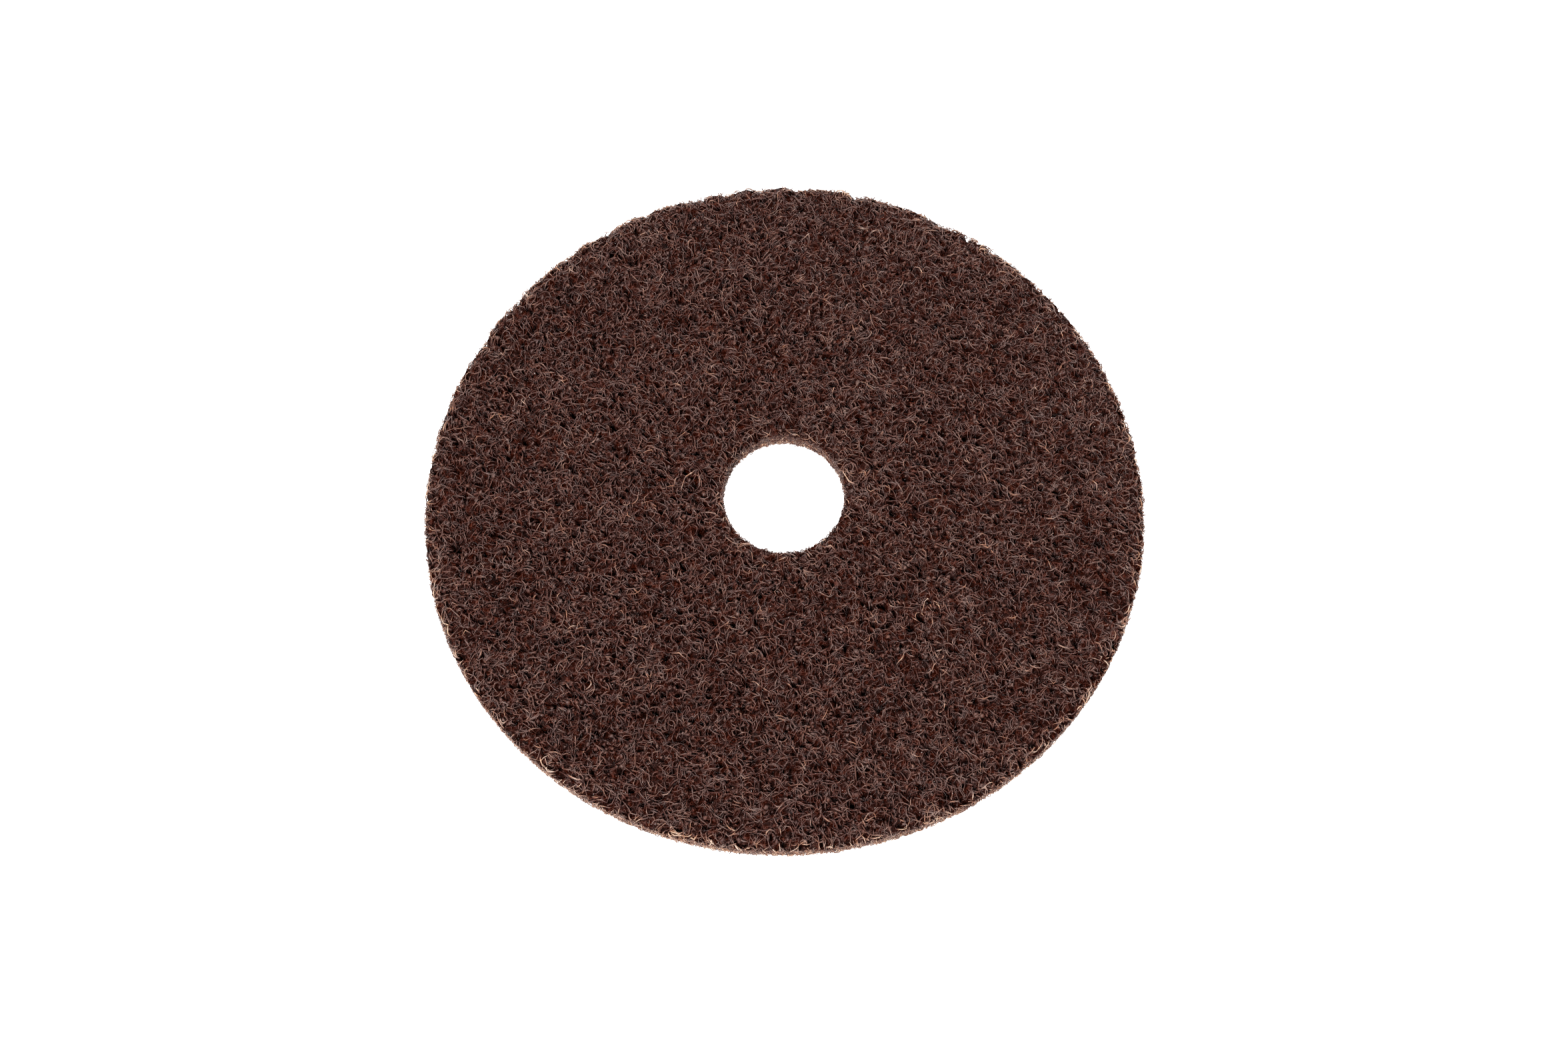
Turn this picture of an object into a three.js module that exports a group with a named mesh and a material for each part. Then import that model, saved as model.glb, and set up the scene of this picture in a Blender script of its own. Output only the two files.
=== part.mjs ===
// A non-woven abrasive disc: one piece, die-cut from a lofty web of crimped nylon fibre.
// Lengths are in millimetres and +Z is up. The origin is the centre of the hole, on the backing face.
// The backing face is flat and lies down; the working face above it has the web's lumps and pits.
import * as THREE from 'three';

// Driving dimensions of the disc.
const DISC_DIAMETER = 125;
const HOLE_DIAMETER = 22;
const WEB_THICKNESS = 5;

// Beside its two cut edges the working face falls away, because the die pressed the web as it cut.
const EDGE_DROP = 1;
const SHOULDER_WIDTH = 2;

// The cuts aren't quite round: how far each one wanders in and out, and how many times in a turn.
const RIM_WANDER = 0.24;
const RIM_LOBES = 3;
const RIM_LOBE_DIRECTION = THREE.MathUtils.degToRad(-22);
const HOLE_WANDER = 0.15;
const HOLE_LOBES = 2;
const HOLE_LOBE_DIRECTION = THREE.MathUtils.degToRad(90);

// The lumps and pits of the working face: their usual distance apart, the height of a common lump,
// and how much further a pit goes down once the face is a pit's brim below its middle height.
const LUMP_SPACING = 5;
const LUMP_HEIGHT = 0.2;
const PIT_BRIM = 0.6;
const PIT_DEPTH = 0.55;

// How finely the faces are divided: the sides of the triangles, and the steps up a wall or shoulder.
const TRIANGLE_SIDE = 1.75;
const WALL_STEPS = 2;
const SHOULDER_STEPS = 2;

// The waves that add up to the lumps. Their lengths run from the shortest to the longest share of the
// lump spacing, the golden angle spreads their directions, and the seed settles where each one starts.
const WAVE_COUNT = 22;
const SHORTEST_WAVE = 0.8;
const LONGEST_WAVE = 1.6;
const GOLDEN_ANGLE = Math.PI * (3 - Math.sqrt(5));
const WAVE_SEED = 5;

const RIM_RADIUS = DISC_DIAMETER / 2;
const HOLE_RADIUS = HOLE_DIAMETER / 2;
const FULL_TURN = 2 * Math.PI;

THREE.MathUtils.seededRandom(WAVE_SEED);
const waves = Array.from({ length: WAVE_COUNT }, (_, i) => ({
  length: LUMP_SPACING * THREE.MathUtils.lerp(SHORTEST_WAVE, LONGEST_WAVE, i / (WAVE_COUNT - 1)),
  direction: i * GOLDEN_ANGLE,
  start: FULL_TURN * THREE.MathUtils.seededRandom(),
}));

// Evenly spaced values from one number to another, with both ends in the list.
function spaced(from, to, steps) {
  return Array.from({ length: steps + 1 }, (_, i) => from + ((to - from) * i) / steps);
}

// The sum of the waves at a place on the face, in units of its own usual height.
function lumpiness(x, y) {
  const sum = waves.reduce((total, wave) => {
    const along = x * Math.cos(wave.direction) + y * Math.sin(wave.direction);
    return total + Math.cos((FULL_TURN * along) / wave.length + wave.start);
  }, 0);
  return sum / Math.sqrt(WAVE_COUNT / 2);
}

// How far the working face stands above its middle height: lumps rise gently, and pits go deeper.
function relief(x, y) {
  const lump = lumpiness(x, y);
  const pit = Math.max(0, -lump - PIT_BRIM);
  return LUMP_HEIGHT * lump - PIT_DEPTH * pit;
}

// The height of the section at a radius, before the lumps: full inside, rounded down at the two cuts.
function sectionHeight(radius) {
  const fromCut = Math.min(radius - HOLE_RADIUS, RIM_RADIUS - radius);
  const share = THREE.MathUtils.clamp(1 - fromCut / SHOULDER_WIDTH, 0, 1);
  return WEB_THICKNESS - EDGE_DROP * share * share;
}

// The closed section of the disc, as points of radius and height: out along the backing face, up the
// rim, in over the working face and down the wall of the hole.
function sectionPoints() {
  const innerShoulder = HOLE_RADIUS + SHOULDER_WIDTH;
  const outerShoulder = RIM_RADIUS - SHOULDER_WIDTH;
  const ringSpacing = TRIANGLE_SIDE * Math.sin(Math.PI / 3);
  const faceSteps = Math.max(1, Math.round((outerShoulder - innerShoulder) / ringSpacing));
  const faceRadii = [
    ...spaced(RIM_RADIUS, outerShoulder, SHOULDER_STEPS),
    ...spaced(outerShoulder, innerShoulder, faceSteps).slice(1),
    ...spaced(innerShoulder, HOLE_RADIUS, SHOULDER_STEPS).slice(1),
  ];
  const cutHeight = sectionHeight(RIM_RADIUS);
  return [
    new THREE.Vector2(HOLE_RADIUS, 0),
    ...spaced(0, cutHeight, WALL_STEPS).slice(0, -1).map((z) => new THREE.Vector2(RIM_RADIUS, z)),
    ...faceRadii.map((radius) => new THREE.Vector2(radius, sectionHeight(radius))),
    ...spaced(cutHeight, 0, WALL_STEPS).slice(1, -1).map((z) => new THREE.Vector2(HOLE_RADIUS, z)),
  ];
}

// How far a cut wanders outwards in a direction.
function wander(amount, lobes, lobeDirection, direction) {
  return amount * Math.cos(lobes * (direction - lobeDirection));
}

// One corner of the web: its place on the turned section, moved by the wander of the cuts and by the
// lumps of the face. The lumps fade out down to the backing face, which stays flat.
function webCorner(section, direction) {
  const outwards = (section.x - HOLE_RADIUS) / (RIM_RADIUS - HOLE_RADIUS);
  const rimWander = wander(RIM_WANDER, RIM_LOBES, RIM_LOBE_DIRECTION, direction);
  const holeWander = wander(HOLE_WANDER, HOLE_LOBES, HOLE_LOBE_DIRECTION, direction);
  const radius = section.x + THREE.MathUtils.lerp(holeWander, rimWander, outwards);
  const x = radius * Math.cos(direction);
  const y = radius * Math.sin(direction);
  const upwards = section.y / sectionHeight(section.x);
  return new THREE.Vector3(x, y, section.y + upwards * relief(x, y));
}

// The ring of corners that one point of the section makes as it turns about the axis. It has as many
// corners as its round needs, and every other ring is turned by half a corner.
function cornerRing(section, ringNumber) {
  const count = Math.max(3, Math.round((FULL_TURN * section.x) / TRIANGLE_SIDE));
  const firstShare = ringNumber % 2 === 0 ? 0 : 0.5;
  return Array.from({ length: count }, (_, i) => {
    const share = (i + firstShare) / count;
    return { share, point: webCorner(section, FULL_TURN * share) };
  });
}

// The triangles between two rings, given the number of each ring's first corner in the mesh. It goes
// once round, and each step moves on along the ring whose next corner comes first.
function bandTriangles(ring, ringStart, nextRing, nextStart) {
  const triangles = [];
  let i = 0;
  let j = 0;
  while (i < ring.length || j < nextRing.length) {
    const here = ringStart + (i % ring.length);
    const there = nextStart + (j % nextRing.length);
    const shareAfter = ring[0].share + (i + 1) / ring.length;
    const nextShareAfter = nextRing[0].share + (j + 1) / nextRing.length;
    if (j === nextRing.length || (i < ring.length && shareAfter <= nextShareAfter)) {
      i += 1;
      triangles.push(here, ringStart + (i % ring.length), there);
    } else {
      j += 1;
      triangles.push(here, nextStart + (j % nextRing.length), there);
    }
  }
  return triangles;
}

// The whole disc: a ring of corners for each point of the section, and a band of triangles from each
// ring to the next, with the last ring joined to the first.
function webGeometry() {
  const rings = sectionPoints().map(cornerRing);
  const starts = rings.map((_, k) => rings.slice(0, k).reduce((sum, ring) => sum + ring.length, 0));
  const triangles = rings.flatMap((ring, k) => {
    const next = (k + 1) % rings.length;
    return bandTriangles(ring, starts[k], rings[next], starts[next]);
  });
  const geometry = new THREE.BufferGeometry();
  geometry.setFromPoints(rings.flat().map((corner) => corner.point));
  geometry.setIndex(triangles);
  geometry.computeVertexNormals();
  return geometry;
}

// Resin-bonded nylon with mineral grain in it: dark red-brown, rough and dull.
const resinBondedNylon = new THREE.MeshStandardMaterial({
  color: 0x462f2a,
  roughness: 0.85,
  metalness: 0,
});

const abrasiveDisc = new THREE.Mesh(webGeometry(), resinBondedNylon);
abrasiveDisc.name = 'abrasive_disc';

const part = new THREE.Group();
part.add(abrasiveDisc);

export default part;
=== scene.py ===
# %% [markdown]
# # A non-woven abrasive disc
# The real disc is stamped out of a sheet of web: crimped nylon fibres lie every way, a dark red-brown
# resin glues them where they cross, and sharp grains of abrasive sit in the resin. Nothing is woven, so
# there is no pattern to repeat. It could be one flat disc with a bumpy material, but then its outline
# would be smooth and its pits would hold no shade. So this script lays real fibres on a lumpy body of
# bonded web, and gives both the colours of resin, nylon and grain.

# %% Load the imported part
import math

import bpy
import numpy as np
from mathutils import Matrix, Vector


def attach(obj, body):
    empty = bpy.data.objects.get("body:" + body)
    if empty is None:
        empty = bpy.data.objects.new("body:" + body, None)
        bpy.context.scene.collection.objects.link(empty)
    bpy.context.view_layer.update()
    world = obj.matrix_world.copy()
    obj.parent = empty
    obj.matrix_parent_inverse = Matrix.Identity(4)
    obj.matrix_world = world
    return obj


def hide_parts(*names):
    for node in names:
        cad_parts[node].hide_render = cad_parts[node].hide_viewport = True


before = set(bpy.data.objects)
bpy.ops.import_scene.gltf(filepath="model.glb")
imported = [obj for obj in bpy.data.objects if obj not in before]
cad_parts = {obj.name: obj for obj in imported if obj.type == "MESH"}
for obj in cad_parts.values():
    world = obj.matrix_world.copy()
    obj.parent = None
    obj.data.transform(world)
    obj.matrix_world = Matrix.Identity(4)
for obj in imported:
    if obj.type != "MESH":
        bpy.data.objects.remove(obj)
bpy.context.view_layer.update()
MM = 0.001
NODE = "abrasive_disc"
BODY = "root"

# %% [markdown]
# ## The camera
# The photograph looks down on the disc from the front. Its two outlines, the rim's and the hole's, are
# nearly ellipses, and only one camera draws both of them at the right size and place. Its height,
# distance and lens were worked out until the drawn outlines lay within about a pixel of the
# photographed ones, and they are written here as real values.

# %% Camera
CAMERA_ELEVATION = math.radians(68.05)
CAMERA_DISTANCE = 282.1 * MM
CAMERA_TARGET = Vector((0.0, -3.93 * MM, 0.0))
CAMERA_ROLL = 0.01
SENSOR_WIDTH = 36.0
PHOTO_WIDTH = 2352
FOCAL_PIXELS = 2402

lens = bpy.data.cameras.new("camera")
lens.sensor_fit = "HORIZONTAL"
lens.sensor_width = SENSOR_WIDTH
lens.lens = SENSOR_WIDTH * FOCAL_PIXELS / PHOTO_WIDTH
lens.clip_start = 0.01
camera = bpy.data.objects.new("camera", lens)
bpy.context.scene.collection.objects.link(camera)
backwards = Vector((0.0, -math.cos(CAMERA_ELEVATION), math.sin(CAMERA_ELEVATION)))
turn = backwards.to_track_quat("Z", "Y").to_matrix().to_4x4() @ Matrix.Rotation(-CAMERA_ROLL, 4, "Z")
camera.matrix_world = Matrix.Translation(CAMERA_TARGET + backwards * CAMERA_DISTANCE) @ turn
bpy.context.scene.camera = camera
print("camera at", [round(v / MM, 1) for v in camera.matrix_world.translation], "mm")

# %% [markdown]
# ## Measuring the part
# Every size below is read from the CAD solid, so the looks follow it if it changes. The corners on its
# flat back give the two cuts, which wander a little as they go round. The corners on its face give the
# lumps of the web.

# %% The two cuts
cad_points = np.array([v.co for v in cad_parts[NODE].data.vertices]) / MM
cad_radius = np.hypot(cad_points[:, 0], cad_points[:, 1])
cad_angle = np.arctan2(cad_points[:, 1], cad_points[:, 0])
MIDDLE_RADIUS = (cad_radius.min() + cad_radius.max()) / 2
BACK_LEVEL = 0.01
on_back = cad_points[:, 2] < BACK_LEVEL


def cut_line(chosen):
    """Radius of one cut for any angle: the chosen corners in order of angle, joined by straight steps."""
    order = np.argsort(cad_angle[chosen])
    angles = cad_angle[chosen][order]
    radii = cad_radius[chosen][order]
    return lambda angle: np.interp(angle, angles, radii, period=2 * math.pi)


rim_radius = cut_line(on_back & (cad_radius > MIDDLE_RADIUS))
hole_radius = cut_line(on_back & (cad_radius < MIDDLE_RADIUS))


def near_rim(x, y, band):
    """How near a place is to the rim: 0 a band's width inside it or further, rising to 1 on the cut."""
    return np.clip(1 - (rim_radius(np.arctan2(y, x)) - np.hypot(x, y)) / band, 0, 1)


def near_hole(x, y, band):
    """How near a place is to the hole, in the same way."""
    return np.clip(1 - (np.hypot(x, y) - hole_radius(np.arctan2(y, x))) / band, 0, 1)


print("rim radius", rim_radius(0.0).round(2), "mm, hole radius", hole_radius(0.0).round(2), "mm")

# %% [markdown]
# ## Fields
# A field is a square sheet of numbers laid over the disc, one number every quarter of a millimetre. Two
# kinds are needed. One spreads the CAD heights smoothly between the CAD corners. The other is the
# randomness of the felt itself: noise with every ripple filtered out but those of one size, which is
# what gives a non-woven web its even but patternless look.

# %% Fields over the disc
FIELD_STEP = 0.25
FIELD_COUNT = 544
FIELD_HALF = FIELD_STEP * FIELD_COUNT / 2
ripples = np.fft.fftfreq(FIELD_COUNT, FIELD_STEP)
ripple_rate = np.hypot(ripples[:, None], ripples[None, :])


def filtered(values, response):
    """Values with each ripple made stronger or weaker by the response for its rate."""
    return np.real(np.fft.ifft2(np.fft.fft2(values) * response))


def felt_field(size, spread, seed):
    """Random lumps about one size across in millimetres: white noise times a bell curve round that rate,
    then divided by its own spread, so that most values lie between -2 and 2."""
    noise = np.random.default_rng(seed).normal(size=(FIELD_COUNT, FIELD_COUNT))
    field = filtered(noise, np.exp(-0.5 * ((ripple_rate * size - 1) / spread) ** 2))
    return field / field.std()


def read_field(field, x, y):
    """The field at any place: the four values round the place, each weighted by how near it is."""
    across = (x + FIELD_HALF) / FIELD_STEP
    up = (y + FIELD_HALF) / FIELD_STEP
    i = np.clip(np.floor(across).astype(int), 0, FIELD_COUNT - 2)
    j = np.clip(np.floor(up).astype(int), 0, FIELD_COUNT - 2)
    s, t = across - i, up - j
    low = field[i, j] * (1 - s) + field[i + 1, j] * s
    high = field[i, j + 1] * (1 - s) + field[i + 1, j + 1] * s
    return low * (1 - t) + high * t


# %% The height of the face
SMOOTHING = 0.8
on_face = cad_points[:, 2] > cad_points[:, 2].max() / 2
face_corners = cad_points[on_face]
sums = np.zeros((2, FIELD_COUNT, FIELD_COUNT))
cells = np.rint((face_corners[:, :2] + FIELD_HALF) / FIELD_STEP).astype(int)
np.add.at(sums[0], (cells[:, 0], cells[:, 1]), face_corners[:, 2])
np.add.at(sums[1], (cells[:, 0], cells[:, 1]), 1.0)
bell = np.exp(-2 * (math.pi * SMOOTHING * ripple_rate) ** 2)
weighted, weights = filtered(sums[0], bell), filtered(sums[1], bell)
mean_height = face_corners[:, 2].mean()
LEAST_WEIGHT = 0.002
face_field = np.where(weights > LEAST_WEIGHT, weighted / np.maximum(weights, LEAST_WEIGHT), mean_height)
print("face height", face_field.min().round(2), "to", face_field.max().round(2), "mm")

# %% The felt's own randomness
SMALL_PITS = 0.95
LARGE_PITS = 0.5
pit_field = SMALL_PITS * felt_field(size=1.5, spread=0.5, seed=11)
pit_field += LARGE_PITS * felt_field(size=3.4, spread=0.7, seed=14)
tuft_field = felt_field(size=1.1, spread=0.3, seed=12)
patch_field = felt_field(size=14.0, spread=0.5, seed=13)
clump_field = felt_field(size=4.5, spread=0.7, seed=15)
print("fields of", FIELD_COUNT, "by", FIELD_COUNT, "values")

# %% [markdown]
# ## Making meshes and materials
# A few small helpers do the work for every piece. One turns arrays into a mesh, one turns a hex colour,
# which is meant for a screen, into the linear numbers that the renderer adds up, one adds a node to a
# material, and two more start a material and lay colours along a line.

# %% Helpers


def piece(name, corners, triangles, material, tone):
    """A mesh from whole arrays in millimetres, with one tone for each corner, that rides on the disc."""
    mesh = bpy.data.meshes.new(name)
    mesh.vertices.add(len(corners))
    mesh.vertices.foreach_set("co", (corners * MM).astype(np.float32).ravel())
    mesh.loops.add(triangles.size)
    mesh.loops.foreach_set("vertex_index", triangles.astype(np.int32).ravel())
    mesh.polygons.add(len(triangles))
    mesh.polygons.foreach_set("loop_start", np.arange(0, triangles.size, 3, dtype=np.int32))
    mesh.polygons.foreach_set("use_smooth", np.ones(len(triangles), dtype=bool))
    mesh.update(calc_edges=True)
    mesh.attributes.new("tone", "FLOAT", "POINT").data.foreach_set("value", tone.astype(np.float32))
    mesh.materials.append(material)
    made = bpy.data.objects.new(name, mesh)
    bpy.context.scene.collection.objects.link(made)
    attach(made, BODY)
    print(name, len(triangles), "triangles")
    return made


def linear(hex_colour):
    """An sRGB hex colour as linear red, green, blue and alpha."""
    channels = [int(hex_colour[i:i + 2], 16) / 255 for i in (1, 3, 5)]
    return [c / 12.92 if c <= 0.04045 else ((c + 0.055) / 1.055) ** 2.4 for c in channels] + [1.0]


def add(tree, kind, settings=None, **links):
    """A node of this kind, with its settings made and its inputs set or linked, by their names."""
    node = tree.nodes.new(kind)
    for name, value in (settings or {}).items():
        setattr(node, name, value)
    for name, value in links.items():
        socket = node.inputs[int(name[1:]) if name[1:].isdigit() else name.replace("_", " ")]
        if isinstance(value, bpy.types.NodeSocket):
            tree.links.new(value, socket)
        else:
            socket.default_value = value
    return node


def material_tree(name):
    """A new material's node tree, and its Principled shader."""
    material = bpy.data.materials.new(name)
    material.use_nodes = True
    return material, material.node_tree, material.node_tree.nodes["Principled BSDF"]


def ramp(tree, factor, stops):
    """Colours along a line: each stop is a place from 0 to 1 and a hex colour."""
    node = add(tree, "ShaderNodeValToRGB", _0=factor)
    elements = node.color_ramp.elements
    while len(elements) < len(stops):
        elements.new(0.5)
    for element, (place, colour) in zip(elements, stops):
        element.position = place
        element.color = linear(colour)
    return node.outputs["Color"]


# %% [markdown]
# ## The materials
# Nylon 6,6 fibre is clear to white, but here each one wears a coat of phenolic resin, dark red-brown and
# a little glossy, thick at the crossings and thin on the loops. So the fibres run from nearly black to a
# pinkish tan, and only where the die cut them does pale nylon show. A tone from 0 to 1 is kept on each
# corner of the mesh, and one row of colours turns it into resin, worn resin or bare nylon.

# %% Resin-coated nylon fibre
TONE_COLOURS = [
    (0.0, "#190400"), (0.25, "#2c0d06"), (0.5, "#53312a"),
    (0.7, "#77574d"), (0.82, "#a87c66"), (1.0, "#ecd2b8"),
]
TINT_SIZE = 1.1
WEAKEST_TINT = 0.8
STRONGEST_TINT = 1.15

# Most of a noise texture's values lie between these two.
NOISE_LOW = 0.35
NOISE_HIGH = 0.65


def tinted(tree, place, colour):
    """The colour made warmer in some places and greyer in others, a millimetre or so across."""
    noise = add(tree, "ShaderNodeTexNoise", Vector=place, Scale=1 / (TINT_SIZE * MM), Detail=2.0)
    strength = add(tree, "ShaderNodeMapRange", _0=noise.outputs["Fac"], _1=NOISE_LOW, _2=NOISE_HIGH,
                   _3=WEAKEST_TINT, _4=STRONGEST_TINT)
    return add(tree, "ShaderNodeHueSaturation", Color=colour, Saturation=strength.outputs[0]).outputs[0]


BLOB_SIZE = 0.4
BLOB_PALENESS = 0.24
THIN_COAT_ROUGHNESS = 0.5
THICK_COAT_ROUGHNESS = 0.28
COAT_BUMP = 0.11
RESIN_IOR = 1.53


def resin_coated_nylon():
    """Crimped nylon under brown resin, which gathered in blobs under half a millimetre across: on a blob
    the fibre is paler and glossier, and between two of them it is darker and duller."""
    material, tree, shader = material_tree("resin_coated_nylon")
    place = add(tree, "ShaderNodeTexCoord").outputs["Object"]
    tone = add(tree, "ShaderNodeAttribute", {"attribute_name": "tone"}).outputs["Fac"]
    noise = add(tree, "ShaderNodeTexNoise", Vector=place, Scale=1 / (BLOB_SIZE * MM), Detail=4.0,
                Roughness=0.65)
    blobs = noise.outputs["Fac"]
    shift = add(tree, "ShaderNodeMath", {"operation": "MULTIPLY_ADD"}, _0=blobs, _1=BLOB_PALENESS,
                _2=-BLOB_PALENESS / 2)
    varied = add(tree, "ShaderNodeMath", {"operation": "ADD"}, _0=tone, _1=shift.outputs[0])
    colour = tinted(tree, place, ramp(tree, varied.outputs[0], TONE_COLOURS))
    tree.links.new(colour, shader.inputs["Base Color"])
    gloss = add(tree, "ShaderNodeMapRange", _0=blobs, _1=NOISE_LOW, _2=NOISE_HIGH,
                _3=THIN_COAT_ROUGHNESS, _4=THICK_COAT_ROUGHNESS)
    tree.links.new(gloss.outputs[0], shader.inputs["Roughness"])
    bump = add(tree, "ShaderNodeBump", Strength=1.0, Distance=COAT_BUMP * MM, Height=blobs)
    tree.links.new(bump.outputs["Normal"], shader.inputs["Normal"])
    shader.inputs["IOR"].default_value = RESIN_IOR
    shader.inputs["Specular IOR Level"].default_value = 0.38
    return material


coated_fibre = resin_coated_nylon()
print(coated_fibre.name, "has", len(coated_fibre.node_tree.nodes), "nodes")

# %% [markdown]
# The body of bonded web is the same stuff seen deeper down, where fibre lies on fibre, and its tone is
# painted much darker than the loose fibres' as painted shade of that depth. The fibres that are too many
# to model are drawn in its material. Where random cells meet, their borders make a net of strands round
# dark holes, just as fibres glued at their crossings do; the dark of the holes is painted shade. One net
# of wide cells lies on a second net of narrow ones, and noise bends the strands of both.

# %% Bonded web
CELL_SIZES = (1.35, 0.85)
STRAND_SHARES = (0.13, 0.17)
BEND_SIZE = 1.0
BEND_REACH = 0.5
NARROW_NET = 0.6
NET_PALENESS = 0.5
WEB_BLOB_SIZE = 0.3
WEB_BLOB_HEIGHT = 0.3
WEB_BUMP = 0.2


def strands(tree, place, cell_size, strand_share):
    """A net: how near a place is to the border of its random cell, turned into a ridge on the border."""
    cells = add(tree, "ShaderNodeTexVoronoi", {"feature": "DISTANCE_TO_EDGE"}, Vector=place,
                Scale=1 / (cell_size * MM))
    ridge = add(tree, "ShaderNodeMapRange", {"interpolation_type": "SMOOTHSTEP"},
                _0=cells.outputs["Distance"], _1=0.0, _2=strand_share, _3=1.0, _4=0.0)
    return ridge.outputs[0]


def bonded_web():
    """Fibres glued into a felt: hollows painted dark as shade and a net of strands over them, with
    hardly any glint, since the loose fibres lie over it."""
    material, tree, shader = material_tree("bonded_web")
    place = add(tree, "ShaderNodeTexCoord").outputs["Object"]
    tone = add(tree, "ShaderNodeAttribute", {"attribute_name": "tone"}).outputs["Fac"]
    swirl = add(tree, "ShaderNodeTexNoise", Vector=place, Scale=1 / (BEND_SIZE * MM), Detail=2.0)
    centred = add(tree, "ShaderNodeVectorMath", {"operation": "SUBTRACT"}, _0=swirl.outputs["Color"],
                  _1=(0.5, 0.5, 0.5))
    bent = add(tree, "ShaderNodeVectorMath", {"operation": "MULTIPLY_ADD"}, _0=centred.outputs[0],
               _1=(2 * BEND_REACH * MM,) * 3, _2=place)
    wide = strands(tree, bent.outputs[0], CELL_SIZES[0], STRAND_SHARES[0])
    narrow = strands(tree, bent.outputs[0], CELL_SIZES[1], STRAND_SHARES[1])
    deeper = add(tree, "ShaderNodeMath", {"operation": "MULTIPLY"}, _0=narrow, _1=NARROW_NET)
    net = add(tree, "ShaderNodeMath", {"operation": "MAXIMUM"}, _0=wide, _1=deeper.outputs[0]).outputs[0]
    # The strands are paler and the hollows keep the body's dark tone, which is painted shade.
    lit = add(tree, "ShaderNodeMath", {"operation": "MULTIPLY_ADD"}, _0=net, _1=NET_PALENESS, _2=tone)
    colour = tinted(tree, place, ramp(tree, lit.outputs[0], TONE_COLOURS))
    tree.links.new(colour, shader.inputs["Base Color"])
    blobs = add(tree, "ShaderNodeTexNoise", Vector=place, Scale=1 / (WEB_BLOB_SIZE * MM), Detail=2.0)
    relief = add(tree, "ShaderNodeMath", {"operation": "MULTIPLY_ADD"}, _0=blobs.outputs["Fac"],
                 _1=WEB_BLOB_HEIGHT, _2=net)
    bump = add(tree, "ShaderNodeBump", Strength=1.0, Distance=WEB_BUMP * MM, Height=relief.outputs[0])
    tree.links.new(bump.outputs["Normal"], shader.inputs["Normal"])
    shader.inputs["Roughness"].default_value = 0.4
    shader.inputs["IOR"].default_value = RESIN_IOR
    shader.inputs["Specular IOR Level"].default_value = 0.04
    return material


web_finish = bonded_web()
print(web_finish.name, "has", len(web_finish.node_tree.nodes), "nodes")

# %% [markdown]
# Brown aluminium oxide, crushed and sieved, is what cuts. Its grains are hard and flat-sided, and dust
# and resin dull them, so each one gives a small pale fleck when a side happens to face the light. The
# palest grains also carry a painted glint: their colour is painted near white.

# %% Aluminium oxide grain
GRAIN_AND_GLINT_COLOURS = [(0.0, "#3c2620"), (0.6, "#85726a"), (1.0, "#d6cbc4")]


def aluminium_oxide():
    """Crushed brown aluminium oxide: flat fracture faces, half dull, from brown to almost clear; the
    palest are partly a painted glint.
    """
    material, tree, shader = material_tree("aluminium_oxide_grain")
    tone = add(tree, "ShaderNodeAttribute", {"attribute_name": "tone"}).outputs["Fac"]
    tree.links.new(ramp(tree, tone, GRAIN_AND_GLINT_COLOURS), shader.inputs["Base Color"])
    shader.inputs["Roughness"].default_value = 0.5
    shader.inputs["Specular IOR Level"].default_value = 0.3
    shader.inputs["IOR"].default_value = 1.76
    return material


grain_finish = aluminium_oxide()
print(grain_finish.name, "has", len(grain_finish.node_tree.nodes), "nodes")

# %% [markdown]
# ## The body of the disc
# Under the loose fibres lies the mass of the web. Its section, carried once round the hole, is a closed
# line: out along the back, up the rim, in over the face and down the hole. So the whole body is one grid
# of numbers that closes on itself both ways, like the skin of a doughnut, and needs no seams.

# %% The body's section and its pits
BODY_SINK = 0.45
PIT_BRIM = 0.58
PIT_DEPTH = 1.0
TUFT_HEIGHT = 0.1
PRESSED_BAND = 6.0
PRESSED_SHUT = 0.6
BACK_RISE = 0.3
BACK_RIPPLE = 0.06
LOWEST_RIPPLE = -3.0


def pits(x, y):
    """How deep the felt is open at a place: nothing on the lumps, deeper the lower the noise is, and
    partly shut beside the hole, where the punch pressed the web."""
    opened = 1 - PRESSED_SHUT * near_hole(x, y, PRESSED_BAND)
    return PIT_DEPTH * opened * np.maximum(0.0, -read_field(pit_field, x, y) - PIT_BRIM)


def body_height(x, y):
    """The CAD face, sunk a little to make room for the loose fibres, less the pits, plus fine tufts."""
    tufts = TUFT_HEIGHT * read_field(tuft_field, x, y)
    return read_field(face_field, x, y) - BODY_SINK - pits(x, y) + tufts


def back_height(x, y):
    """The back of the body: clear of the ground by the thickness of its fibres, with faint ripples."""
    return BACK_RISE + BACK_RIPPLE * np.maximum(read_field(tuft_field, x, y), LOWEST_RIPPLE)


face_pits = pits(face_corners[:, 0], face_corners[:, 1])
print("deepest pit", face_pits.max().round(2), "mm, open share", (face_pits > 0).mean().round(2))

# %% The body as one closed grid
SECTORS = 560
FACE_STEPS = 84
WALL_STEPS = 8
BACK_STEPS = 12

# The die leaves the walls rough. These say how far their tufts stand in and out, how far a wall is sunk
# to make room for its fibres, how much of the field is laid round a cut before it starts again, and how
# many times flatter the tufts are there than on the face.
WALL_TUFTS = 0.1
WALL_SINK = 0.04
WALL_WRAP = 100
WALL_STRETCH = 3


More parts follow.
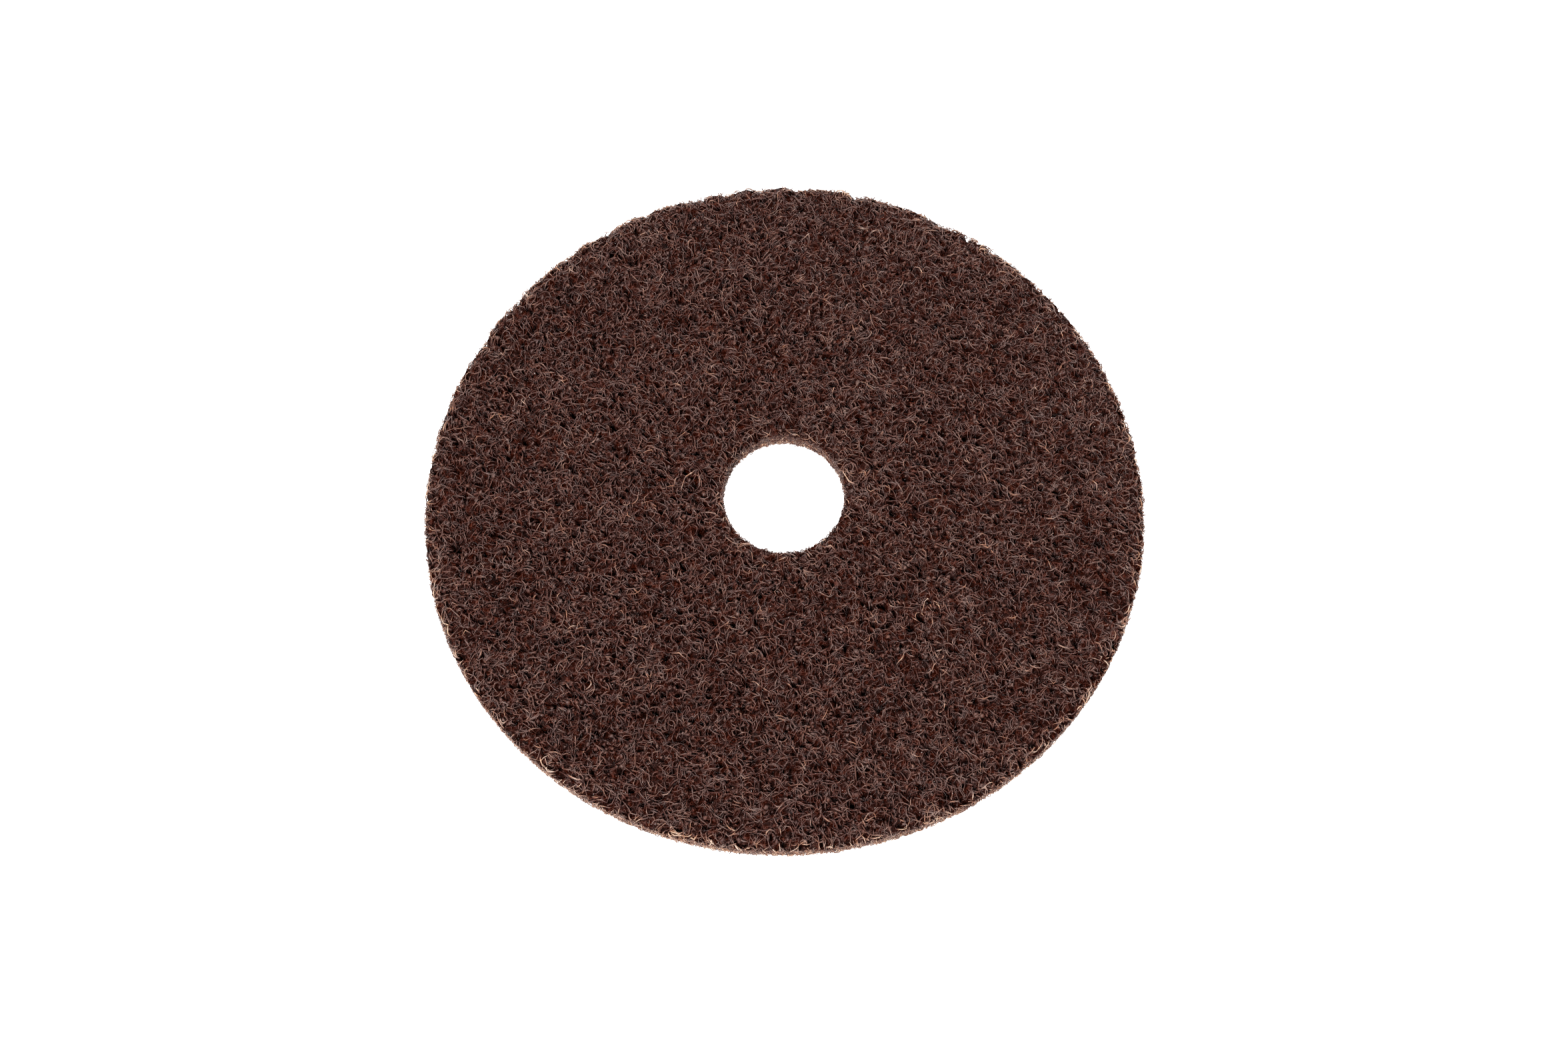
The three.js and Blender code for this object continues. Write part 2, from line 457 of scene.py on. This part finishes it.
def section_shares():
    """For each row of the grid: how far out it lies, from 0 at the hole to 1 at the rim, and how far up,
    from 0 on the back to 1 on the face. The rows of the back lie closer together beside the cuts."""
    back = 0.5 - 0.5 * np.cos(np.linspace(0, math.pi, BACK_STEPS, endpoint=False))
    out = np.concatenate([back, np.ones(WALL_STEPS),
                          np.linspace(1, 0, FACE_STEPS, endpoint=False), np.zeros(WALL_STEPS)])
    up = np.concatenate([np.zeros(BACK_STEPS), np.linspace(0, 1, WALL_STEPS, endpoint=False),
                         np.ones(FACE_STEPS), np.linspace(1, 0, WALL_STEPS, endpoint=False)])
    return out[:, None], up[:, None]


def body_surface():
    """Every corner of the body, and its place on the disc: radius from one cut to the other, height from
    the back to the face, and the walls roughened by the tufts that the die cut through."""
    out, up = section_shares()
    angle = np.linspace(-math.pi, math.pi, SECTORS, endpoint=False)[None, :]
    rim, hole = rim_radius(angle), hole_radius(angle)
    radius = hole + (rim - hole) * out + 0 * up
    x, y = radius * np.cos(angle), radius * np.sin(angle)
    back = back_height(x, y)
    z = back + (body_height(x, y) - back) * up
    along = np.where(out > 0.5, rim, hole) * angle
    tufts = read_field(tuft_field, along % WALL_WRAP - WALL_WRAP / 2, z * WALL_STRETCH)
    inwards = np.where(out > 0.5, -1.0, 1.0) * (WALL_TUFTS * tufts + WALL_SINK)
    radius = radius + np.where((out == 1) | (out == 0), inwards, 0.0)
    return np.stack([radius * np.cos(angle), radius * np.sin(angle), z], axis=-1), x, y


def closed_grid(rows, columns):
    """Two triangles for each cell of a grid whose last row and column meet its first ones."""
    here = np.arange(rows * columns).reshape(rows, columns)
    on, beside = np.roll(here, -1, axis=0), np.roll(here, -1, axis=1)
    across = np.roll(on, -1, axis=1)
    cells = np.stack([here, beside, across, here, across, on], axis=-1)
    return cells.reshape(-1, 3)


# %% The body's tones
# The face of the body is painted nearly black, and darker still where its pits open: painted shade of the
# depth under the loose fibres.
SHADED_FACE_TONE = 0.06
PIT_PAINTED_SHADE = 0.3
FACE_PATCHES = 0.02
WALL_FOOT_TONE = 0.5
WALL_DARKNESS = 0.2
BACK_TONE = 0.14
BACK_PATCHES = 0.03

body_corners, body_x, body_y = body_surface()
body_out, body_up = section_shares()
patches = read_field(patch_field, body_x, body_y)
open_share = np.clip(pits(body_x, body_y) / PIT_DEPTH * (body_up >= 1), 0, 1)
body_tone = SHADED_FACE_TONE - PIT_PAINTED_SHADE * open_share + FACE_PATCHES * patches
body_tone = np.where(body_up < 1, WALL_FOOT_TONE - WALL_DARKNESS * body_up, body_tone)
inside_back = (body_up == 0) & (body_out > 0) & (body_out < 1)
body_tone = np.where(inside_back, BACK_TONE + BACK_PATCHES * patches, body_tone)
body_triangles = closed_grid(*body_corners.shape[:2])
web_body = piece("web_body", body_corners.reshape(-1, 3), body_triangles, web_finish, body_tone.ravel())
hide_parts(NODE)

# %% [markdown]
# ## The loose fibres
# On the real face each fibre can be followed for a few millimetres: it comes up out of the web, curls
# over in an arc with a radius of a millimetre or two, and dives back in. A fibre that bends steadily and
# also waves to and fro has this look, and its path is easy to work out: its heading is the running sum
# of its bend, and its place is the running sum of its heading. All the fibres of a piece are worked out
# together, as one array of paths.

# %% Paths of crimped fibres
STEADY_BEND = 0.7
CRIMP_BEND = 0.9
CRIMP_SHARES = (0.3, 1.3)
CRIMP_LENGTHS = (2.0, 4.5)


def crimped_paths(x, y, heading, length, points, rng):
    """Flat curling paths from a start and a heading: bend = a steady part + a wave along the fibre,
    heading = the running sum of bend, and place = the running sum of the heading's direction."""
    count = len(x)
    step = (length / (points - 1))[:, None]
    along = step * np.arange(points)
    wave_length = rng.uniform(*CRIMP_LENGTHS, (count, 1))
    wave = np.sin(2 * math.pi * (along / wave_length + rng.random((count, 1))))
    bend = rng.normal(0, STEADY_BEND, (count, 1))
    bend = bend + CRIMP_BEND * rng.uniform(*CRIMP_SHARES, (count, 1)) * wave
    headings = heading[:, None] + np.cumsum(bend * step, axis=1)
    xs = x[:, None] + np.cumsum(np.cos(headings) * step, axis=1)
    ys = y[:, None] + np.cumsum(np.sin(headings) * step, axis=1)
    return xs, ys


def read_along(values, low, share):
    """Values along each path, a share of the way from its point number low to the next point."""
    return np.take_along_axis(values, low, 1) * (1 - share) + np.take_along_axis(values, low + 1, 1) * share


FEWEST_POINTS = 3


def cut_by_die(xs, ys, overhang):
    """The paths, each shortened to end where it first crosses a cut: the share of the path that lies on
    the disc is found, and the path is read again at even steps over that share. The last result says
    which paths are long enough to keep."""
    points = xs.shape[1]
    radius, angle = np.hypot(xs, ys), np.arctan2(ys, xs)
    outside = (radius > rim_radius(angle) + overhang[:, None]) | (radius < hole_radius(angle))
    first = np.where(outside.any(axis=1), outside.argmax(axis=1), points)
    steps = np.linspace(0, 1, points)[None, :] * np.maximum(first - 1, 0)[:, None]
    low = np.minimum(np.floor(steps).astype(int), points - 2)
    share = steps - low
    return read_along(xs, low, share), read_along(ys, low, share), first >= FEWEST_POINTS


TUBE_SIDES = 3


def tubes(paths, radii):
    """Closed three-sided tubes along many paths at once: at each point three corners lie round the path,
    a third of a turn apart, and a triangle closes each end."""
    ahead = np.gradient(paths, axis=1)
    ahead /= np.linalg.norm(ahead, axis=2, keepdims=True)
    side = np.cross(ahead, [0.0, 0.0, 1.0])
    side /= np.maximum(np.linalg.norm(side, axis=2, keepdims=True), 1e-6)
    over = np.cross(side, ahead)
    turns = 2 * math.pi * np.arange(TUBE_SIDES) / TUBE_SIDES
    ring = side[:, :, None] * np.cos(turns)[:, None] + over[:, :, None] * np.sin(turns)[:, None]
    tube_corners = paths[:, :, None] + radii[:, :, None, None] * ring
    index = np.arange(tube_corners.size // 3).reshape(tube_corners.shape[:3])
    here, there = index[:, :-1], index[:, 1:]
    here_next, there_next = np.roll(here, -1, axis=2), np.roll(there, -1, axis=2)
    walls = np.stack([here, there_next, here_next, here, there, there_next], axis=-1).reshape(-1, 3)
    ends = np.concatenate([index[:, 0], index[:, -1, ::-1]])
    return tube_corners.reshape(-1, 3), np.concatenate([walls, ends])


# %% Where the fibres start


def on_the_disc(count, rng):
    """Random places spread evenly over the ring: the square of the radius is even between its ends."""
    angle = rng.uniform(-math.pi, math.pi, count)
    share = rng.random(count)
    rim, hole = rim_radius(angle), hole_radius(angle)
    radius = np.sqrt(hole ** 2 + (rim ** 2 - hole ** 2) * share)
    return radius * np.cos(angle), radius * np.sin(angle)


# %% The tone of a fibre
EDGE_BAND = 1.4
RIM_PALENESS = 0.29
HOLE_PALENESS = 0.16
WORN_BAND = 5.0
WORN_PALENESS = 0.08


def near_cut(x, y):
    """How near a place is to the nearer cut, over the width of the pale band."""
    return np.maximum(near_rim(x, y, EDGE_BAND), near_hole(x, y, EDGE_BAND))


MIDDLE_TONE = 0.545
TONE_SPREAD = 0.068
TONE_ALONG = 0.045
PATCH_PALENESS = 0.016
CLUMP_PALENESS = 0.035
EDGE_EVENNESS = 0.6
PALEST_TONE = 0.93


def fibre_tone(shape, x, y, rng):
    """Tones of fibres: each has its own and wanders round it, some patches and clumps of the web are
    lighter, and near the cuts all are paler and more alike."""
    own = TONE_SPREAD * np.clip(rng.normal(size=(shape[0], 1)), -3, 3) + TONE_ALONG * rng.normal(size=shape)
    patch = PATCH_PALENESS * read_field(patch_field, x, y) + CLUMP_PALENESS * read_field(clump_field, x, y)
    bare = RIM_PALENESS * near_rim(x, y, EDGE_BAND) + HOLE_PALENESS * near_hole(x, y, EDGE_BAND)
    worn = WORN_PALENESS * (near_rim(x, y, WORN_BAND) + near_hole(x, y, WORN_BAND))
    return MIDDLE_TONE + own * (1 - EDGE_EVENNESS * near_cut(x, y)) + patch + bare + worn


# %% Fibres on the face
FIBRE_RADIUS = 0.11
FIBRE_SHARES = (0.75, 1.2)
BLOB_SHARES = (0.75, 1.25)
OVERHANG = (-0.1, 0.3)
END_LIFT = (-0.9, -0.35)
ARCH_RISE = 0.82
ARCH_SHARES = (0.3, 1.0)
WEAVE_HEIGHT = 0.1
WEAVE_LENGTHS = (1.6, 3.4)
PIT_FOLLOW = 0.8
PIT_SHADE = 0.42
EDGE_FUZZ = 0.2

# Painted shade: a fibre is painted paler the higher it lies, until a little above the middle lift.
LIFT_PAINTED_SHADE = 0.3
MIDDLE_LIFT = -0.2
PALE_RISE = 0.15


def face_fibres(name, count, points, lengths, seed):
    """Fibres woven through the face: height = the CAD face + a straight line from one end's depth to the
    other's + an arch between them + a small wave, less most of any pit under them."""
    rng = np.random.default_rng(seed)
    x, y = on_the_disc(count, rng)
    length = rng.uniform(*lengths, count)
    xs, ys = crimped_paths(x, y, rng.uniform(0, 2 * math.pi, count), length, points, rng)
    xs, ys, kept = cut_by_die(xs, ys, rng.uniform(*OVERHANG, count))
    xs, ys, length = xs[kept], ys[kept], length[kept][:, None]
    count = len(xs)
    share = np.linspace(0, 1, points)[None, :]
    first_end, last_end = rng.uniform(*END_LIFT, (2, count, 1))
    arch = rng.uniform(*ARCH_SHARES, (count, 1)) * ARCH_RISE * np.sin(math.pi * share)
    waves = share * length / rng.uniform(*WEAVE_LENGTHS, (count, 1))
    weave = np.sin(2 * math.pi * (waves + rng.random((count, 1))))
    lift = first_end + (last_end - first_end) * share + arch + WEAVE_HEIGHT * weave
    sink = pits(xs, ys)
    zs = read_field(face_field, xs, ys) + lift - PIT_FOLLOW * sink + EDGE_FUZZ * near_cut(xs, ys)
    radii = FIBRE_RADIUS * rng.uniform(*FIBRE_SHARES, (count, 1)) * rng.uniform(*BLOB_SHARES, xs.shape)
    mesh_corners, mesh_triangles = tubes(np.stack([xs, ys, zs], axis=-1), radii)
    # Painted shade: low-lying fibres and fibres over pits are painted darker.
    shade = LIFT_PAINTED_SHADE * np.minimum(lift - MIDDLE_LIFT, PALE_RISE) - PIT_SHADE * sink
    tone = np.repeat(np.minimum(fibre_tone(xs.shape, xs, ys, rng) + shade, PALEST_TONE), TUBE_SIDES, axis=1)
    return piece(name, mesh_corners, mesh_triangles, coated_fibre, tone.ravel())


face_fibres("face_fibres_long", count=900, points=14, lengths=(5.0, 8.0), seed=21)
face_fibres("face_fibres_lower", count=4600, points=6, lengths=(1.8, 4.6), seed=22)
face_fibres("face_fibres_middle", count=6000, points=6, lengths=(1.8, 4.6), seed=23)
face_fibres("face_fibres_upper", count=6000, points=6, lengths=(1.8, 4.6), seed=24)

# %% [markdown]
# ## Films of resin
# The resin was sprayed on wet. Where three or four fibres cross close together it filled the gap between
# them and dried there as a small glossy film. A film could be a flat patch, but its edge has to be thick
# enough to catch light, so each one is a thin closed pad: a ragged ring of corners with a point over its
# middle and one under it.

# %% Films between fibres
FILM_CORNERS = 8
FILM_RADIUS = (0.2, 0.46)
FILM_RAGGEDNESS = (0.45, 1.35)
CORNER_SHIFT = 0.3
FILM_RISE = 0.06
FILM_TILT = 0.4
FILM_LIFT = (-0.22, 0.1)
FILM_EDGE = 0.5
FILM_TONE = 0.56
FILM_TONE_SPREAD = 0.05


def resin_films(name, count, seed):
    """Thin ragged pads: corners round a middle, each at its own distance, on a plane that tilts a little;
    the middle is raised on the upper side and lowered on the under side."""
    rng = np.random.default_rng(seed)
    x, y = on_the_disc(count, rng)
    inside = near_cut(x, y) < FILM_EDGE
    x, y = x[inside, None], y[inside, None]
    count = len(x)
    shift = rng.uniform(-CORNER_SHIFT, CORNER_SHIFT, (count, FILM_CORNERS))
    turns = 2 * math.pi * (np.arange(FILM_CORNERS) + shift) / FILM_CORNERS
    reach = rng.uniform(*FILM_RADIUS, (count, 1)) * rng.uniform(*FILM_RAGGEDNESS, (count, FILM_CORNERS))
    across, along = reach * np.cos(turns), reach * np.sin(turns)
    slope = rng.normal(0, FILM_TILT, (2, count, 1))
    sink = pits(x, y)
    height = read_field(face_field, x, y) + rng.uniform(*FILM_LIFT, (count, 1)) - PIT_FOLLOW * sink
    ring = np.stack([x + across, y + along, height + slope[0] * across + slope[1] * along], axis=-1)
    middle = np.stack([x, y, height], axis=-1)
    rise = np.array([0.0, 0.0, FILM_RISE])
    film_corners = np.concatenate([ring, middle + rise, middle - rise], axis=1)
    here = np.arange(FILM_CORNERS)
    there = np.roll(here, -1)
    over = np.stack([here, there, np.full_like(here, FILM_CORNERS)], axis=-1)
    under = np.stack([there, here, np.full_like(here, FILM_CORNERS + 1)], axis=-1)
    sides = np.concatenate([over, under])
    film_triangles = ((FILM_CORNERS + 2) * np.arange(count)[:, None, None] + sides).reshape(-1, 3)
    tone = rng.normal(FILM_TONE, FILM_TONE_SPREAD, (count, 1)) - PIT_SHADE * sink
    tone = np.repeat(tone, FILM_CORNERS + 2, axis=1)
    return piece(name, film_corners.reshape(-1, 3), film_triangles, coated_fibre, tone.ravel())


resin_films("resin_films", count=4800, seed=25)

# %% [markdown]
# ## The back
# The back is the other side of the same sheet, pressed flat where the web lay on its belt. Its fibres
# lie flatter than those of the face, all at the level that the disc rests on.

# %% Fibres on the back
LOWEST_FIBRE = 0.12
BACK_LAYER = 0.12
BACK_END_RISE = (0.25, 0.5)
BACK_FIBRE_SHARES = (0.85, 1.05)


def back_fibres(name, count, points, lengths, seed):
    """Fibres laid along the back: height = just over the ground in the middle of a fibre, rising to both
    its ends as one less an arch."""
    rng = np.random.default_rng(seed)
    x, y = on_the_disc(count, rng)
    length = rng.uniform(*lengths, count)
    xs, ys = crimped_paths(x, y, rng.uniform(0, 2 * math.pi, count), length, points, rng)
    xs, ys, kept = cut_by_die(xs, ys, rng.uniform(*OVERHANG, count))
    xs, ys = xs[kept], ys[kept]
    count = len(xs)
    share = np.linspace(0, 1, points)[None, :]
    rise = rng.uniform(*BACK_END_RISE, (count, 1)) * (1 - np.sin(math.pi * share))
    zs = LOWEST_FIBRE + rng.uniform(0, BACK_LAYER, (count, 1)) + rise
    radii = FIBRE_RADIUS * rng.uniform(*BACK_FIBRE_SHARES, (count, 1)) * np.ones_like(xs)
    mesh_corners, mesh_triangles = tubes(np.stack([xs, ys, zs], axis=-1), radii)
    tone = np.repeat(np.minimum(fibre_tone(xs.shape, xs, ys, rng), PALEST_TONE), TUBE_SIDES, axis=1)
    return piece(name, mesh_corners, mesh_triangles, coated_fibre, tone.ravel())


back_fibres("back_fibres", count=2500, points=5, lengths=(2.2, 4.4), seed=26)

# %% [markdown]
# ## The cut walls
# The die leaves a wall all round the rim and the hole. It shows the web from the side: fibres run out to
# it and stop, with pale nylon bare at each end, and some run along it. Short stubs that start inside the
# body and end at the cut make the first, and short bent fibres along the wall make the second.

# %% Places on a wall
INSET = 0.4
TOP_RISE = 0.25
FOOT_PALENESS = 0.06
DARKEST_TONE = 0.2
STUB_RADIUS = 0.085
STUB_SHARES = (0.7, 1.2)


def height_at_cut(radius, angle, outwards):
    """How high the wall stands at an angle: the body's face just inside the cut, and a little over it."""
    inside = radius - outwards * INSET
    return body_height(inside * np.cos(angle), inside * np.sin(angle)) + TOP_RISE


def wall_places(line, outwards, per_mm2, rng):
    """Random places on a cut wall, so many to each square millimetre: the angle, the cut's radius there,
    the height of the wall's top there, and the place's own height."""
    count = int(per_mm2 * 2 * math.pi * line(0.0) * read_field(face_field, line(0.0), 0.0))
    angle = rng.uniform(-math.pi, math.pi, (count, 1))
    radius = line(angle)
    top = height_at_cut(radius, angle, outwards)
    z = LOWEST_FIBRE + (top - LOWEST_FIBRE) * rng.random((count, 1))
    return angle, radius, top, z


def wall_piece(name, out, around, zs, own_radius, tone):
    """Tubes of short fibres at a cut, from the radius, angle and height of each point."""
    paths = np.stack([out * np.cos(around), out * np.sin(around), zs], axis=-1)
    tube_corners, tube_triangles = tubes(paths, own_radius * np.ones_like(zs))
    tone = np.repeat(tone, TUBE_SIDES, axis=1)
    return piece(name, tube_corners, tube_triangles, coated_fibre, tone.ravel())


def wall_tone(own, z, top):
    """Tone on a cut wall: paler low down and darker towards the face."""
    return np.clip(own + FOOT_PALENESS * (1 - 2 * z / top), DARKEST_TONE, PALEST_TONE)


# %% Stubs at the cuts
STUB_DEPTH = 0.7
STUB_REACH = 0.32
STUB_SIDEWAYS = 0.6
STUB_UPWARDS = 0.2
STUB_TONE_SPREAD = 0.1
END_PALENESS = 0.2


def cut_stubs(name, line, outwards, per_mm2, paleness, seed):
    """Short fibres that end at a cut: from a point inside the body to a point on the cut line, a little
    to one side and above or below, with the outer end bare and pale."""
    rng = np.random.default_rng(seed)
    angle, radius, top, z = wall_places(line, outwards, per_mm2, rng)
    share = np.array([[0.0, 1.0]])
    around = angle + rng.normal(0, STUB_SIDEWAYS, angle.shape) * share / radius
    reach = rng.uniform(0.0, STUB_REACH, angle.shape)
    out = radius + outwards * (reach - STUB_DEPTH * (1 - share))
    zs = np.maximum(z + rng.normal(0, STUB_UPWARDS, angle.shape) * share, LOWEST_FIBRE)
    own_radius = STUB_RADIUS * rng.uniform(*STUB_SHARES, angle.shape)
    own = rng.normal(paleness, STUB_TONE_SPREAD, angle.shape)
    own = own + share * rng.uniform(0.0, END_PALENESS, angle.shape)
    return wall_piece(name, out, around, zs, own_radius, wall_tone(own, z, top))


# %% Fibres along the cuts
WALL_POINTS = 4
WALL_LENGTHS = (0.8, 2.2)
WALL_CURL = 0.5
WALL_SLANT = 0.6
STAND_OUT = (-0.05, 0.3)
DIVE = 0.35
WALL_TONE_SPREAD = 0.08


def wall_fibres(name, line, outwards, per_mm2, paleness, seed):
    """Fibres that lie along a cut: a straight run over the wall at any slant, with a little bend, that
    stands out in the middle and dives into the body at both ends."""
    rng = np.random.default_rng(seed)
    angle, radius, top, z = wall_places(line, outwards, per_mm2, rng)
    share = np.linspace(0, 1, WALL_POINTS)[None, :]
    run = rng.uniform(*WALL_LENGTHS, angle.shape) * (share - 0.5)
    slant = rng.uniform(0, 2 * math.pi, angle.shape) + rng.normal(0, WALL_CURL, angle.shape) * run
    around = angle + run * np.cos(slant) / radius
    out = line(around) + outwards * (rng.uniform(*STAND_OUT, angle.shape) - DIVE * (2 * share - 1) ** 2)
    zs = np.clip(z + WALL_SLANT * run * np.sin(slant), LOWEST_FIBRE, top)
    own_radius = STUB_RADIUS * rng.uniform(*STUB_SHARES, angle.shape)
    own = rng.normal(paleness, WALL_TONE_SPREAD, angle.shape) * np.ones_like(zs)
    return wall_piece(name, out, around, zs, own_radius, wall_tone(own, z, top))


cut_stubs("rim_cut_ends", rim_radius, outwards=1.0, per_mm2=3.5, paleness=0.72, seed=31)
cut_stubs("hole_cut_ends", hole_radius, outwards=-1.0, per_mm2=3.5, paleness=0.6, seed=32)
wall_fibres("rim_wall_fibres", rim_radius, outwards=1.0, per_mm2=1.6, paleness=0.77, seed=33)
wall_fibres("hole_wall_fibres", hole_radius, outwards=-1.0, per_mm2=1.6, paleness=0.64, seed=34)

# %% [markdown]
# ## The grain
# Each grain is a crushed splinter: an eight-sided crystal with every corner pulled in or out by chance,
# turned any way, and stuck to a fibre or to the web.

# %% Grains of abrasive
GRAIN_RADIUS = (0.05, 0.1)
GRAIN_RAGGEDNESS = (0.6, 1.3)
GRAIN_LIFT = (-0.3, 0.15)
PALE_GRAIN_AND_GLINT_RARITY = 1.5


def grains(name, count, seed):
    """Eight-sided splinters: six corners on three crossed axes, each at its own distance, turned by a
    random rotation and moved to places among the topmost fibres."""
    rng = np.random.default_rng(seed)
    x, y = on_the_disc(count, rng)
    z = read_field(face_field, x, y) + rng.uniform(*GRAIN_LIFT, count) - PIT_FOLLOW * pits(x, y)
    axes = np.array([[1, 0, 0], [-1, 0, 0], [0, 1, 0], [0, -1, 0], [0, 0, 1], [0, 0, -1]], dtype=float)
    size = rng.uniform(*GRAIN_RADIUS, (count, 1, 1)) * rng.uniform(*GRAIN_RAGGEDNESS, (count, 6, 1))
    frames = np.linalg.qr(rng.normal(size=(count, 3, 3)))[0]
    frames *= np.sign(np.linalg.det(frames))[:, None, None]
    splinters = np.einsum("nij,nkj->nki", frames, axes * size) + np.stack([x, y, z], axis=-1)[:, None]
    sides = np.array([[0, 2, 4], [2, 1, 4], [1, 3, 4], [3, 0, 4],
                      [2, 0, 5], [1, 2, 5], [3, 1, 5], [0, 3, 5]])
    grain_triangles = (6 * np.arange(count)[:, None, None] + sides).reshape(-1, 3)
    # The pale end of these tones is partly a painted glint.
    tone = np.repeat(rng.random(count) ** PALE_GRAIN_AND_GLINT_RARITY, 6)
    made = piece(name, splinters.reshape(-1, 3), grain_triangles, grain_finish, tone)
    made.data.polygons.foreach_set("use_smooth", np.zeros(len(grain_triangles), dtype=bool))
    return made


grains("abrasive_grain", count=3000, seed=41)

# %% [markdown]
# ## The ground and the light
# The ground and the backdrop are plain white, and they glow, so that no shadow or horizon shows. A
# bright room would lay a grey veil of reflections over the wet resin, so the room is dim and warm, the
# backdrop is seen by the camera alone, and two lamps do the work: one on the camera's side that lights
# the near wall, and one behind that draws the glints. Both are small enough to leave the pits dark.

# %% Ground and backdrop
GROUND_SIZE = 8.0
BACKDROP_RADIUS = 5.0


def white_paper():
    """Matt white paper that glows, as a light table does."""
    material, _, shader = material_tree("white_paper")
    shader.inputs["Base Color"].default_value = linear("#f6f6f6")
    shader.inputs["Roughness"].default_value = 0.9
    shader.inputs["Emission Color"].default_value = (1.0, 1.0, 1.0, 1.0)
    shader.inputs["Emission Strength"].default_value = 1.0
    return material


paper = white_paper()
bpy.ops.mesh.primitive_plane_add(size=GROUND_SIZE, location=(0, 0, 0))
ground = bpy.context.object
ground.name = "ground"
ground.data.materials.append(paper)

bpy.ops.mesh.primitive_uv_sphere_add(segments=64, ring_count=32, radius=BACKDROP_RADIUS, location=(0, 0, 0))
backdrop = bpy.context.object
backdrop.name = "backdrop"
backdrop.data.materials.append(paper)
for ray in ("diffuse", "glossy", "transmission", "volume_scatter", "shadow"):
    setattr(backdrop, "visible_" + ray, False)
print("ground", GROUND_SIZE, "m wide under a backdrop of radius", BACKDROP_RADIUS, "m")

# %% Lamps and room
LAMP_SIZE = 0.12


def soft_lamp(name, power, place):
    """A square lamp that faces the disc's centre, with its power in watts and its place in metres."""
    light = bpy.data.lights.new(name, "AREA")
    light.size = LAMP_SIZE
    light.energy = power
    lamp = bpy.data.objects.new(name, light)
    lamp.location = place
    lamp.rotation_euler = Vector(place).to_track_quat("Z", "Y").to_euler()
    bpy.context.scene.collection.objects.link(lamp)
    print(name, power, "W")


soft_lamp("front_lamp", power=11.5, place=(-0.35, -0.55, 0.8))
soft_lamp("back_lamp", power=10.6, place=(0.3, 0.6, 0.85))
world = bpy.data.worlds.new("room")
world.use_nodes = True
world.node_tree.nodes["Background"].inputs["Color"].default_value = linear("#ffe4dc")
world.node_tree.nodes["Background"].inputs["Strength"].default_value = 0.06
bpy.context.scene.world = world
bpy.context.scene.view_settings.view_transform = "Standard"
bpy.context.scene.cycles.use_denoising = False
bpy.context.scene.cycles.filter_width = 1.3
